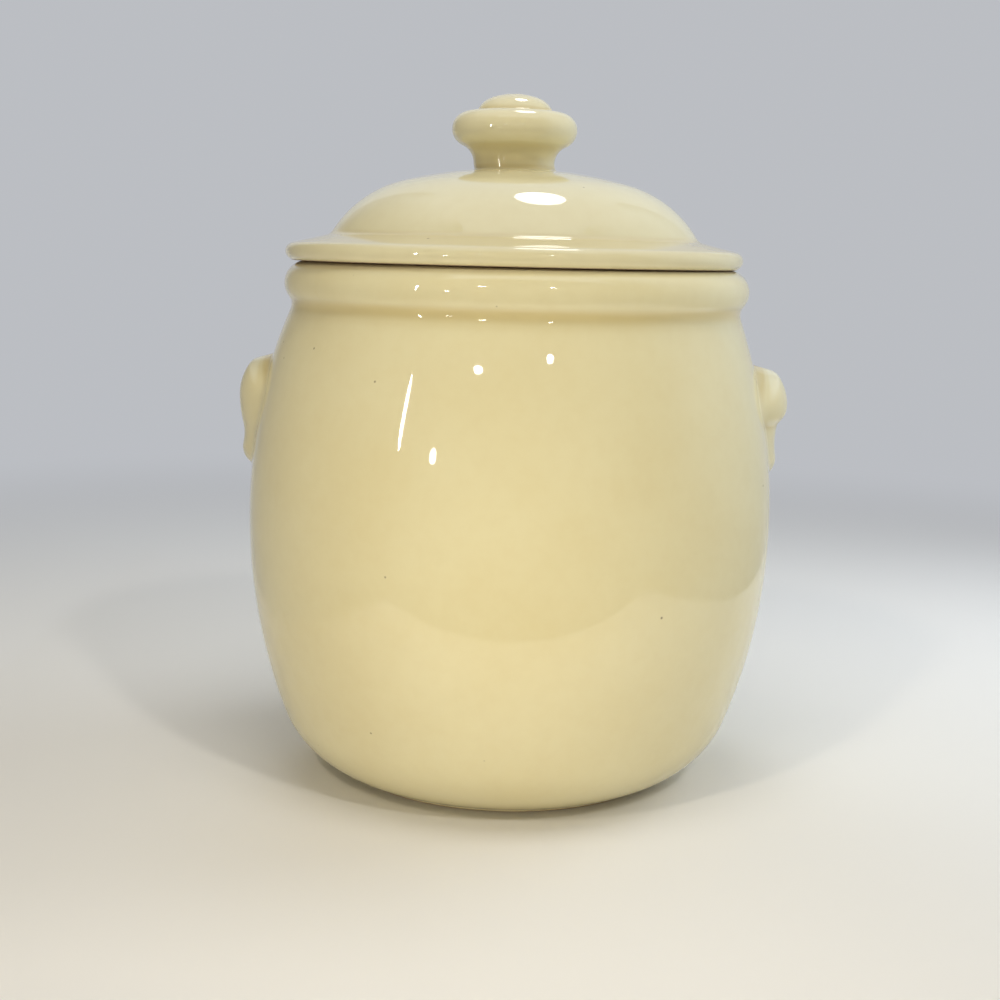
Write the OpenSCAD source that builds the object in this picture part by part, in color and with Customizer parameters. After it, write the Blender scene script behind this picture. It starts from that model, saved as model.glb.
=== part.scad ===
// Covered biscuit jar in glazed stoneware: a barrel-shaped jar with two grip lugs,
// and a domed lid with a turned knob. The lid drops into the mouth and lifts straight out.
// Millimetres, +Z up, origin at the centre of the foot.

/* [Jar] */
// Diameter of the jar at the belly, its widest place
body_d = 175; // [162:1:200]
// Height of the belly above the foot
belly_z = 84; // [72:1:98]
// Height of the rim, where the lid rests
rim_z = 169; // [152:1:195]
// Thickness of the side wall
wall = 6; // [4:0.1:8.5]
// Thickness of the floor, foot ring included
floor_t = 8; // [6:0.1:12]
// Lean of the side, in degrees, where it turns into the heel
heel_turn = 20; // [14:1:26]
// Lean of the heel, in degrees, where it meets the foot
foot_turn = 70; // [62:1:78]

/* [Rim] */
// Diameter of the neck, the narrowest place under the rim
neck_d = 148.2; // [138:0.2:156]
// How far the rolled rim stands out from the neck
rim_out = 2.5; // [1.5:0.1:4]
// Radius of the rolled rim
rim_round = 7.2; // [5.6:0.1:8]
// Radius of the hollow of the neck
neck_round = 3.6; // [2.6:0.1:7]
// Thickness of the wall at the neck
neck_wall = 7.6; // [7:0.1:10]
// Rounding of the inner edge of the rim
lip_round = 1.5; // [0.5:0.1:2.4]

/* [Foot] */
// Diameter of the foot ring that the jar stands on
foot_d = 111.6; // [100:0.2:124]
// Height of the foot ring below the heel
foot_h = 1.2; // [0.6:0.1:2.4]
// How far the heel overhangs the foot ring
foot_step = 1.2; // [0.6:0.1:3]
// Width of the foot ring
foot_w = 6.5; // [4:0.1:10]
// Depth of the hollow inside the foot ring
foot_hollow = 2.4; // [1.2:0.1:3.6]
// Rounding of the edges of the foot ring
foot_round = 0.5; // [0.2:0.1:0.6]
// Distance from the foot ring's edge in to the flat of the jar's floor
floor_in = 5.8; // [3:0.1:12]

/* [Lid] */
// How far the lid's edge stops inside the rolled rim
lid_step = 1.4; // [0.4:0.1:2.4]
// Radius of the lid's rounded edge
lid_edge = 2.9; // [2:0.1:3.6]
// Slope of the brim's top, in degrees
brim_slope = 13.4; // [8:0.2:16]
// Diameter of the dome where it rises from the brim
dome_d = 121.2; // [112:0.2:123]
// Height of the dome's crown above the rim
crown_h = 31; // [26:0.1:38]
// Lean of the dome, in degrees, where its crown turns into its shoulder
crown_turn = 14; // [11:1:19]
// Lean of the dome, in degrees, where it meets the brim
dome_turn = 60; // [53:1:66]
// Rounding between the dome and the brim
dome_fillet = 3; // [1:0.1:3.5]
// Thickness of the lid
lid_wall = 5; // [4:0.1:6.5]
// Rounding of the corners under the lid
lid_inner_round = 2.5; // [1:0.1:3]

/* [Locating ring] */
// Clearance all round between the lid's ring and the mouth
ring_gap = 1; // [0.5:0.1:2]
// Thickness of the ring
ring_t = 4.6; // [3:0.1:6]
// Depth of the ring below the rim
ring_depth = 7; // [4:0.1:12]
// Rounding of the ring's lower edges
ring_round = 1.4; // [0.4:0.1:1.5]

/* [Knob] */
// Diameter of the knob's stem
stem_d = 26.6; // [22:0.2:30]
// Height of the stem, from the crown to the waist of its hollow
stem_h = 1.8; // [0.8:0.1:4]
// How far the knob's disc stands out from the stem
disc_out = 7.2; // [5:0.1:9]
// Radius of the disc's rounded edge
disc_round = 5.6; // [4.4:0.1:6]
// Radius of the hollow under the disc
stem_round = 6; // [4:0.1:9]
// Diameter of the button on top of the disc
button_d = 25; // [20:0.2:28]
// Height of the button
button_h = 5.9; // [4.5:0.1:7]
// Lean of the button, in degrees, where its top turns into its side
button_turn = 20; // [14:1:24]
// Lean of the button's side, in degrees, where it meets the disc
button_end = 68; // [62:1:78]
// Rounding between the button and the disc
button_fillet = 1; // [0.5:0.1:1.6]
// Diameter of the firing vent, from under the lid into the knob
vent_d = 3.2; // [2:0.1:5]
// Depth of the vent inside the knob
vent_depth = 12; // [6:0.5:15]

/* [Lugs] */
// Distance from the rim down to the top of the lugs
lug_drop = 31.3; // [28:0.1:38]
// Height of the hood, from the nose up to the top of the lug
hood_h = 13.2; // [10:0.1:16]
// Lean of the hood, in degrees, where its face turns into its top
hood_turn = 38; // [30:1:44]
// Lean of the hood's top, in degrees, where it meets the jar
hood_end = 86; // [80:1:89]
// Radius of the arch that the hood's outline makes
arch_round = 23.4; // [18:0.1:30]
// Draft of the arch, in degrees: the hood is narrower at its nose than at the jar
arch_draft = 8; // [3:0.5:12]
// Height of the finger ledge, from the nose down to the tail
ledge_h = 6.3; // [5:0.1:8]
// Height of the tail, from the ledge down to its foot
tail_h = 11; // [8:0.1:15]
// Height of the rounded end under the tail
end_h = 5.9; // [5:0.1:8]
// Lean of the rounded end, in degrees, where it starts to turn in
end_turn = 30; // [20:1:36]
// Lean of the rounded end, in degrees, where it meets the jar
end_end = 84; // [76:1:89]
// How far the nose stands out from the jar
lug_out = 9.1; // [6:0.1:12]
// Radius of the lug across its nose
lug_round = 24; // [20:0.5:32]
// Depth of the finger ledge
ledge_in = 2.5; // [1.5:0.1:3.5]
// How far the hood's top is rounded back from the nose
hood_in = 10; // [8:0.1:12]
// How much higher the hood is turned than the arch that trims it
hood_trim = 0.8; // [0.4:0.1:2]
// How far the rounded end is drawn back from the tail
end_in = 4.2; // [3:0.1:5]
// Depth of the shallow hollow down the tail
tail_hollow = 0.6; // [0.3:0.1:1]

/* [Colours] */
// Glaze on the jar and its lugs
jar_colour = [0.91, 0.88, 0.75];
// Glaze on the lid
lid_colour = [0.92, 0.90, 0.78];
// Glaze on the knob
knob_colour = [0.90, 0.87, 0.72];

/* [Hidden] */
$fn = 144;
long_arc_fn = 360;        // facets round a wide circle, of which only a short arc shows
skin = 1;                 // overrun of a cutting shape past the face it opens
lap = 0.005;              // how far an arc laps over the next where the two run together
groove_run = 0.3;         // how far the hollow down a tail runs on past the tail's ends

body_r = body_d / 2;
neck_r = neck_d / 2;
foot_r = foot_d / 2;
dome_r = dome_d / 2;
stem_r = stem_d / 2;
mouth_r = neck_r - neck_wall;
rim_r = neck_r + rim_out;
heel_r = foot_r + foot_step;
floor_r = foot_r - floor_in;

// The neck's hollow and the arc of the shoulder that runs smoothly into it
neck_z = rim_z - rim_round - roll_rise(rim_out, neck_round, rim_round);
neck_centre = [neck_r + neck_round, neck_z];
shoulder_back = body_r - neck_centre[0];
shoulder_round = neat((shoulder_back ^ 2 + (neck_z - belly_z) ^ 2 - (neck_round - lap) ^ 2)
    / (2 * (neck_round - lap + shoulder_back)));
shoulder_centre = [body_r - shoulder_round, belly_z];
shoulder_end = neat(toward(shoulder_centre, neck_centre, shoulder_round)[1]);

// The lid, with heights taken from the rim
lid_r = rim_r - lid_step;
edge_centre = [lid_r - lid_edge, lid_edge];
brim_edge = edge_centre + (lid_edge - lap) * [sin(brim_slope), cos(brim_slope)];
dome_foot = [dome_r, neat(brim_edge[1] + (brim_edge[0] - dome_r) * tan(brim_slope))];
dome_rise = crown_h - dome_foot[1];
ring_out = mouth_r - ring_gap;
ring_in = ring_out - ring_t;
roof_z = dome_foot[1] - lid_wall;
roof_r = neat(dome_r - lid_wall / sin(dome_turn));
roof_round = min(lid_inner_round, neat((ring_in - roof_r) / 2));

// The knob, with heights taken from the dome's crown
disc_top = stem_h + roll_rise(disc_out, stem_round, disc_round) + disc_round;

// The lugs: each is turned about an upright axis of its own, inside the jar's wall
lug_top = rim_z - lug_drop;
nose_z = lug_top - hood_h;
arch_h = side_r(nose_z) + lug_out + skin - side_r(lug_top);
lug_axis = side_r(nose_z) + lug_out - lug_round;
tail_r = lug_round - ledge_in;
ledge_arc = neat((ledge_h ^ 2 + ledge_in ^ 2) / (2 * ledge_in));

// A length to the nearest micron, so that edges that share it meet exactly
function neat(length) = round(1000 * length) / 1000;

// Radius of the jar's side at a height above the belly
function side_r(z) = shoulder_centre[0] + sqrt(shoulder_round ^ 2 - (z - belly_z) ^ 2);

// The point at a distance from one point toward another
function toward(from, to, distance) = from + distance * (to - from) / norm(to - from);

// Radii of two arcs that join smoothly, a wide one and then a tight one: the first starts level
// and leans to turn_1, the second goes on to turn_2, and together they cover the run and the fall
function biarc(run, fall, turn_1, turn_2) =
    let (s1 = sin(turn_1), s2 = sin(turn_2) - s1, c1 = 1 - cos(turn_1), c2 = cos(turn_1) - cos(turn_2))
    [
        neat((run * c2 - fall * s2) / (s1 * c2 - s2 * c1)),
        neat((fall * s1 - run * c1) / (s1 * c2 - s2 * c1))
    ];

// Centre of the tight arc of a biarc
function tight_centre(arcs, fall, turn_1) =
    [0, fall - arcs[0]] + (arcs[0] - arcs[1]) * [sin(turn_1), cos(turn_1)];

// Height from the waist of a hollow neck up to the centre of the roll above it
function roll_rise(out, hollow, roll) =
    neat(sqrt((hollow + roll - lap) ^ 2 - (hollow + roll - out) ^ 2));

// The space under a biarc, or at an inset below it. The tight arc's disc is whole
module under_arcs(run, fall, turn_1, turn_2, inset = 0) {
    arcs = biarc(run, fall, turn_1, turn_2);
    meet = neat((arcs[0] - inset) * sin(turn_1));
    intersection() {
        translate([0, fall - arcs[0]]) circle(arcs[0] - inset, $fn = long_arc_fn);
        translate([0, -inset]) square([meet, fall + inset + skin]);
    }
    translate(tight_centre(arcs, fall, turn_1)) circle(arcs[1] - inset + lap);
}

// The quarter outline under a biarc, from its top on the axis to the end of its run, or to
// where the tight arc comes down to the base when it may run over that end
module crown(run, fall, turn_1, turn_2, over = 0) {
    intersection() {
        under_arcs(run, fall, turn_1, turn_2);
        square([run + over, fall + skin]);
    }
}

// The outline of a rolled edge above a hollow neck, from the neck's waist upward
module roll(waist, out, hollow, roll) {
    hollow_centre = [waist + hollow, 0];
    roll_centre = [waist + out - roll, roll_rise(out, hollow, roll)];
    meet = neat(toward(hollow_centre, roll_centre, hollow)[1]);
    top = roll_centre[1] + roll;
    difference() {
        square([hollow_centre[0], meet]);
        translate(hollow_centre) circle(hollow);
    }
    translate([0, meet]) square([roll_centre[0], top - meet]);
    intersection() {
        translate(roll_centre) circle(roll);
        translate([0, meet - skin]) square([waist + out + skin, top - meet + 2 * skin]);
    }
}

// What a rounding takes off, or fills in, at a square corner: the corner is at the origin and
// the rounding lies toward +X and +Y
module corner(radius) {
    difference() {
        square(radius);
        translate([radius, radius]) circle(radius);
    }
}

// The outline of the jar's side from the foot ring to the neck's waist
module side_outline() {
    translate([heel_r, belly_z]) rotate(-90)
        crown(belly_z - foot_h, body_r - heel_r, heel_turn, foot_turn);
    translate([0, foot_h]) square([heel_r, belly_z - foot_h]);
    intersection() {
        translate(shoulder_centre) circle(shoulder_round, $fn = long_arc_fn);
        translate([0, belly_z]) square([body_r + skin, shoulder_end + skin - belly_z]);
    }
    difference() {
        translate([0, shoulder_end]) square([neck_centre[0], neck_z - shoulder_end]);
        translate(neck_centre) circle(neck_round);
    }
}

// The outline of the space inside the jar
module jar_hollow() {
    translate([floor_r, belly_z]) rotate(-90)
        crown(belly_z - floor_t, body_r - wall - floor_r, heel_turn, 90);
    translate([0, floor_t]) square([floor_r, belly_z - floor_t]);
    intersection() {
        translate(shoulder_centre) circle(shoulder_round - wall, $fn = long_arc_fn);
        translate([0, belly_z]) square([body_r, rim_z - belly_z]);
    }
    translate([0, belly_z]) square([mouth_r, rim_z + skin - belly_z]);
    translate([mouth_r, rim_z]) mirror([0, 1]) corner(lip_round);
}

// The outline of the foot ring
module foot_outline() {
    difference() {
        square([foot_r, foot_h + skin]);
        translate([0, -skin]) square([foot_r - foot_w, foot_hollow + skin]);
        translate([foot_r - foot_w, 0]) corner(foot_round);
        translate([foot_r, 0]) mirror([1, 0]) corner(foot_round);
    }
}

module jar_body() {
    color(jar_colour) rotate_extrude() {
        difference() {
            side_outline();
            jar_hollow();
            translate([0, -skin]) square([foot_r - foot_w, foot_hollow + skin]);
        }
        foot_outline();
        difference() {
            translate([0, neck_z]) roll(neck_r, rim_out, neck_round, rim_round);
            jar_hollow();
        }
    }
}

// The outline of a lug, about its own upright axis and with heights from its nose
module lug_outline() {
    translate([lug_round - hood_in, 0]) mirror([1, -1])
        crown(hood_h + hood_trim, hood_in, hood_turn, hood_end);
    square([lug_round - hood_in, hood_h + hood_trim]);
    intersection() {
        translate([lug_round - ledge_arc, 0]) circle(ledge_arc);
        translate([0, -ledge_h - skin]) square([lug_round + skin, ledge_h + skin]);
    }
    translate([0, -ledge_h - tail_h]) tail_outline();
}

// The outline of a lug's tail and of the rounded end under it, from their join
module tail_outline() {
    groove_half = tail_h / 2 + groove_run;
    groove_arc = neat((groove_half ^ 2 + tail_hollow ^ 2) / (2 * tail_hollow));
    difference() {
        union() {
            square([tail_r, tail_h + skin]);
            translate([tail_r - end_in, 0]) rotate(-90) crown(end_h, end_in, end_turn, end_end);
            translate([0, -end_h]) square([tail_r - end_in, end_h]);
        }
        translate([tail_r + groove_arc - tail_hollow, tail_h / 2]) circle(groove_arc);
    }
}

// A lug's hood and tail are turned, arched by a drafted cutter and fitted to the jar's side
module lug() {
    difference() {
        intersection() {
            translate([lug_axis, 0, nose_z]) rotate_extrude() lug_outline();
            translate([side_r(lug_top), 0, lug_top - arch_round]) rotate([0, 90, 0])
                translate([0, 0, -arch_h])
                    cylinder(
                        h = 2 * arch_h,
                        r1 = arch_round + arch_h * tan(arch_draft),
                        r2 = arch_round - arch_h * tan(arch_draft)
                    );
        }
        rotate_extrude() side_outline();
    }
}

module right_lug() {
    color(jar_colour) lug();
}

module left_lug() {
    color(jar_colour) rotate(180) lug();
}

// The rounding between a crown's tight arc and what it stands on, which slopes down from its foot
module foot_rounding(run, base, rise, turn_1, turn_2, slope, fillet) {
    arcs = biarc(run, rise, turn_1, turn_2);
    side = [0, base] + tight_centre(arcs, rise, turn_1);
    across = [sin(slope), cos(slope)];
    along = [cos(slope), -sin(slope)];
    reach = [run, base] + (fillet - lap) * across - side;
    slide = sqrt((reach * along) ^ 2 - reach * reach + (arcs[1] + fillet) ^ 2) - reach * along;
    centre = side + reach + slide * along;
    difference() {
        polygon([
            toward(side, centre, arcs[1] - skin),
            [run - skin, base - skin],
            centre - (fillet + skin) * across,
            centre
        ]);
        translate(centre) circle(fillet);
    }
}

// The outline of the lid's outside, with heights from the rim
module lid_outline() {
    translate([0, dome_foot[1]]) crown(dome_r, dome_rise, crown_turn, dome_turn);
    polygon([[0, 0], [edge_centre[0], 0], brim_edge, dome_foot, [0, dome_foot[1]]]);
    translate(edge_centre) circle(lid_edge);
    foot_rounding(dome_r, dome_foot[1], dome_rise, crown_turn, dome_turn, brim_slope, dome_fillet);
}

// The outline of the space under the lid
module lid_hollow() {
    translate([0, dome_foot[1]]) intersection() {
        under_arcs(dome_r, dome_rise, crown_turn, dome_turn, lid_wall);
        translate([0, -lid_wall]) square([roof_r, lid_wall + dome_rise]);
    }
    translate([0, -ring_depth - skin]) square([ring_in, roof_z + ring_depth + skin]);
    translate([roof_r, roof_z]) corner(roof_round);
}

// The outline of the ring that drops into the mouth
module ring_outline() {
    difference() {
        translate([ring_in, -ring_depth]) square([ring_t, ring_depth + skin]);
        translate([ring_in, -ring_depth]) corner(ring_round);
        translate([ring_out, -ring_depth]) mirror([1, 0]) corner(ring_round);
    }
}

module lid() {
    color(lid_colour) translate([0, 0, rim_z]) rotate_extrude() {
        difference() {
            lid_outline();
            lid_hollow();
            square([vent_d / 2, crown_h + skin]);
        }
        ring_outline();
        translate([ring_in, roof_z]) rotate(180) corner(roof_round);
    }
}

module knob() {
    color(knob_colour) difference() {
        translate([0, 0, rim_z + crown_h]) rotate_extrude() {
            translate([0, -skin]) square([stem_r, stem_h + skin]);
            translate([0, stem_h]) roll(stem_r, disc_out, stem_round, disc_round);
            translate([0, disc_top]) {
                crown(button_d / 2, button_h, button_turn, button_end, skin);
                foot_rounding(button_d / 2, 0, button_h, button_turn, button_end, 0, button_fillet);
                translate([0, -skin]) square([button_d / 2, skin]);
            }
        }
        translate([0, 0, rim_z]) rotate_extrude() lid_outline();
        translate([0, 0, rim_z + crown_h - skin]) cylinder(d = vent_d, h = vent_depth + skin);
    }
}

jar_body();
left_lug();
right_lug();
lid();
knob();
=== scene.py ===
import math

import bpy
import numpy as np
from mathutils import Matrix, Vector


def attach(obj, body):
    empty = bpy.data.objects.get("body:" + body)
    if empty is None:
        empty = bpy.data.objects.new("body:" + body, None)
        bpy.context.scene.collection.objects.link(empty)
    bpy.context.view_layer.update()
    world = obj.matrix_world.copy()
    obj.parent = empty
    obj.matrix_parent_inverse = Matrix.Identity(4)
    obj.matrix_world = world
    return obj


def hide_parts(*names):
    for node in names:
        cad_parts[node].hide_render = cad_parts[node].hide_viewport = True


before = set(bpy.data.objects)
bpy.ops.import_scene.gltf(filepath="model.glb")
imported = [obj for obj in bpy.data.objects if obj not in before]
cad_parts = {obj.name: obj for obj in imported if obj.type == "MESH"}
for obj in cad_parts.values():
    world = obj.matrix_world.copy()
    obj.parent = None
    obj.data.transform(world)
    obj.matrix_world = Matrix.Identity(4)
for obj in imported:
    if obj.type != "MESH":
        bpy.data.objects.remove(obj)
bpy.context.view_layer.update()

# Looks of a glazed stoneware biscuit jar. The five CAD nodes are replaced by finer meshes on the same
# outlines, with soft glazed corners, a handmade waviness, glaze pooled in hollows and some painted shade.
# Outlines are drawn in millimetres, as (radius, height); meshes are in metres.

MM = 0.001

# ---------------------------------------------------------------- sizes, in millimetres and degrees
BODY_R = 87.5
BELLY_Z = 84.0
RIM_Z = 169.0
WALL = 6.0
FLOOR_T = 8.0
HEEL_TURN = 20.0
FOOT_TURN = 70.0
NECK_R = 74.1
RIM_OUT = 2.5
RIM_ROUND = 7.2
NECK_ROUND = 3.6
NECK_WALL = 7.6          # from the waist of the neck in to the mouth
MOUTH_R = NECK_R - NECK_WALL
LIP_ROUND = 1.5
FOOT_R = 55.8
FOOT_H = 1.2
FOOT_STEP = 1.2
FOOT_W = 6.5
FOOT_HOLLOW = 2.4
FLOOR_IN = 5.8

LID_STEP = 1.4
LID_EDGE = 2.9
BRIM_SLOPE = 13.4
DOME_R = 60.6
CROWN_H = 31.0
CROWN_TURN = 14.0
DOME_TURN = 60.0
DOME_FILLET = 3.0
LID_WALL = 5.0
LID_INNER_ROUND = 2.5
RING_GAP = 1.0
RING_T = 4.6
RING_DEPTH = 7.0
RING_ROUND = 1.4

STEM_R = 13.3
STEM_H = 1.8
DISC_OUT = 7.2
DISC_ROUND = 5.6
STEM_ROUND = 6.0
BUTTON_R = 12.5
BUTTON_H = 5.89          # 0.01 under the solid's, so that the mesh stays inside the solids' box
BUTTON_TURN = 20.0
BUTTON_END = 68.0
BUTTON_FILLET = 1.0
VENT_R = 1.6
VENT_DEPTH = 12.0
KNOB_SEAT = 2.0          # how deep the knob's piece is set into the lid's crown
STEM_GLAZE = 0.9         # radius of the glaze that fills the joint round the stem

LUG_DROP = 31.3
HOOD_H = 13.2
HOOD_TURN = 38.0
HOOD_END = 86.0
ARCH_ROUND = 23.4
ARCH_DRAFT = 8.0
LEDGE_H = 6.3
TAIL_H = 11.0
END_H = 5.9
END_TURN = 30.0
END_END = 84.0
LUG_OUT = 9.1
LUG_ROUND = 24.0
HOOD_IN = 10.0
HOOD_TRIM = 0.8
END_IN = 4.2
TAIL_HOLLOW = 0.6

# ---------------------------------------------------------------- how finely the meshes are made
TURNS = 256              # segments round a revolved piece
DRAWN_STEP = 0.15        # mm between the points of an outline as it is drawn
MESH_STEP = 2.4          # mm, the longest step of an outline in the mesh
MESH_TURN = 3.5          # degrees, the most that an outline turns from one step to the next
LUG_STEP = 0.36          # mm between the points of a lug's face
BELL_REACH = 3.5         # how far out a bell curve is sampled, in its own widths
TINY = 1e-6              # mm, below which a length counts as none


def placed(name, data):
    """A new object in the scene."""
    thing = bpy.data.objects.new(name, data)
    bpy.context.scene.collection.objects.link(thing)
    return thing


# ================================================================ camera
CAMERA_PLACE = (-3.26, -503.4, 173.6)
CAMERA_PITCH = 9.44      # degrees below level
CAMERA_ROLL = 1.4        # degrees
CAMERA_LENS = 54.0       # mm, on a sensor 36 mm wide
CAMERA_SENSOR = 36.0
CAMERA_CLIP = (0.01, 50.0)      # m


def make_camera():
    """The photograph's view: a little above the rim, close to the jar and slightly tilted."""
    data = bpy.data.cameras.new("photo_camera")
    data.lens = CAMERA_LENS
    data.sensor_width = CAMERA_SENSOR
    data.clip_start, data.clip_end = CAMERA_CLIP
    camera = placed("photo_camera", data)
    camera.matrix_world = (
        Matrix.Translation(Vector(CAMERA_PLACE) * MM)
        @ Matrix.Rotation(math.radians(90.0 - CAMERA_PITCH), 4, "X")
        @ Matrix.Rotation(math.radians(CAMERA_ROLL), 4, "Z")
    )
    bpy.context.scene.camera = camera


make_camera()


# ================================================================ outlines
def sin(degrees):
    """Sine of an angle in degrees."""
    return math.sin(math.radians(degrees))


def cos(degrees):
    """Cosine of an angle in degrees."""
    return math.cos(math.radians(degrees))


def eased(share):
    """A smooth rise from 0 to 1 as the share goes from 0 to 1, held at the ends."""
    share = np.clip(share, 0.0, 1.0)
    return share * share * (3.0 - 2.0 * share)


def arc(centre, radius, start, end):
    """Points of an arc; angles are in degrees from +radius towards +height."""
    count = max(3, int(abs(radius * math.radians(end - start)) / DRAWN_STEP) + 2)
    angles = np.radians(np.linspace(start, end, count))
    return np.stack([centre[0] + radius * np.cos(angles), centre[1] + radius * np.sin(angles)], 1)


def heading(centre, point):
    """Angle of a point seen from a centre, in degrees."""
    return math.degrees(math.atan2(point[1] - centre[1], point[0] - centre[0]))


def biarc(run, fall, turn_1, turn_2):
    """Radii of a wide arc and a tight one that join smoothly and cover the run and the fall."""
    s1, c1 = sin(turn_1), 1.0 - cos(turn_1)
    s2, c2 = sin(turn_2) - s1, cos(turn_1) - cos(turn_2)
    scale = s1 * c2 - s2 * c1
    return (run * c2 - fall * s2) / scale, (fall * s1 - run * c1) / scale


def roll_rise(out, hollow, roll):
    """Height from the waist of a hollow neck up to the centre of the roll above it."""
    return math.sqrt((hollow + roll) ** 2 - (hollow + roll - out) ** 2)


def swell(wide_end, belly, turn_1, turn_2):
    """The side from its foot up to the belly: a tight arc and then a wide one."""
    run, fall = belly[1] - wide_end[1], belly[0] - wide_end[0]
    wide, tight = biarc(run, fall, turn_1, turn_2)
    wide_centre = (belly[0] - wide, belly[1])
    tight_centre = (
        wide_centre[0] + (wide - tight) * cos(turn_1),
        wide_centre[1] - (wide - tight) * sin(turn_1),
    )
    return [arc(tight_centre, tight, -turn_2, -turn_1), arc(wide_centre, wide, -turn_1, 0.0)]


RIM_R = NECK_R + RIM_OUT
NECK_Z = RIM_Z - RIM_ROUND - roll_rise(RIM_OUT, NECK_ROUND, RIM_ROUND)
NECK_CENTRE = (NECK_R + NECK_ROUND, NECK_Z)
ROLL_CENTRE = (RIM_R - RIM_ROUND, RIM_Z - RIM_ROUND)
SHOULDER_BACK = BODY_R - NECK_CENTRE[0]
SHOULDER_ROUND = (SHOULDER_BACK ** 2 + (NECK_Z - BELLY_Z) ** 2 - NECK_ROUND ** 2) / (
    2.0 * (NECK_ROUND + SHOULDER_BACK)
)
SHOULDER_CENTRE = (BODY_R - SHOULDER_ROUND, BELLY_Z)


def side_r(z):
    """Radius of the jar's side at a height above the belly."""
    return SHOULDER_CENTRE[0] + np.sqrt(SHOULDER_ROUND ** 2 - (z - BELLY_Z) ** 2)


def jar_outline():
    """From the axis under the foot, up the outside, over the rim and down the inside to the axis."""
    heel = (FOOT_R + FOOT_STEP, FOOT_H)
    shoulder_lean = heading(SHOULDER_CENTRE, NECK_CENTRE)
    roll_lean = heading(NECK_CENTRE, ROLL_CENTRE)
    inside = SHOULDER_ROUND - WALL
    throat = math.degrees(math.acos((MOUTH_R - SHOULDER_CENTRE[0]) / inside))
    floor_r = FOOT_R - FLOOR_IN
    inner_side = swell((floor_r, FLOOR_T), (BODY_R - WALL, BELLY_Z), HEEL_TURN, 90.0)
    parts = [
        [(0.0, FOOT_HOLLOW), (FOOT_R - FOOT_W, FOOT_HOLLOW), (FOOT_R - FOOT_W, 0.0)],
        [(FOOT_R, 0.0), (FOOT_R, FOOT_H), heel],
        *swell(heel, (BODY_R, BELLY_Z), HEEL_TURN, FOOT_TURN),
        arc(SHOULDER_CENTRE, SHOULDER_ROUND, 0.0, shoulder_lean),
        arc(NECK_CENTRE, NECK_ROUND, 180.0 + shoulder_lean, roll_lean),
        arc(ROLL_CENTRE, RIM_ROUND, roll_lean - 180.0, 90.0),
        arc((MOUTH_R + LIP_ROUND, RIM_Z - LIP_ROUND), LIP_ROUND, 90.0, 180.0),
        arc(SHOULDER_CENTRE, inside, throat, 0.0),
        inner_side[1][::-1],
        inner_side[0][::-1],
        [(0.0, FLOOR_T)],
    ]
    return np.concatenate([np.asarray(p, float) for p in parts])


# Heights of the lid's parts above the rim, and the arcs of its dome
LID_R = RIM_R - LID_STEP
EDGE_CENTRE = (LID_R - LID_EDGE, LID_EDGE)
BRIM_EDGE = (EDGE_CENTRE[0] + LID_EDGE * sin(BRIM_SLOPE), EDGE_CENTRE[1] + LID_EDGE * cos(BRIM_SLOPE))
DOME_FOOT_Z = BRIM_EDGE[1] + (BRIM_EDGE[0] - DOME_R) * sin(BRIM_SLOPE) / cos(BRIM_SLOPE)
DOME_WIDE, DOME_TIGHT = biarc(DOME_R, CROWN_H - DOME_FOOT_Z, CROWN_TURN, DOME_TURN)
CROWN_CENTRE = (0.0, CROWN_H - DOME_WIDE)
DOME_SIDE_CENTRE = (
    (DOME_WIDE - DOME_TIGHT) * sin(CROWN_TURN),
    CROWN_CENTRE[1] + (DOME_WIDE - DOME_TIGHT) * cos(CROWN_TURN),
)


def foot_fillet(side, side_round, foot, slope, fillet):
    """Centre of the rounding between an arc and the surface that slopes down from its foot."""
    across = np.array([sin(slope), cos(slope)])
    along = np.array([cos(slope), -sin(slope)])
    reach = np.array(foot) + fillet * across - np.array(side)
    back = reach @ along
    slide = math.sqrt(back ** 2 - reach @ reach + (side_round + fillet) ** 2) - back
    return np.array(side) + reach + slide * along


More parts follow.
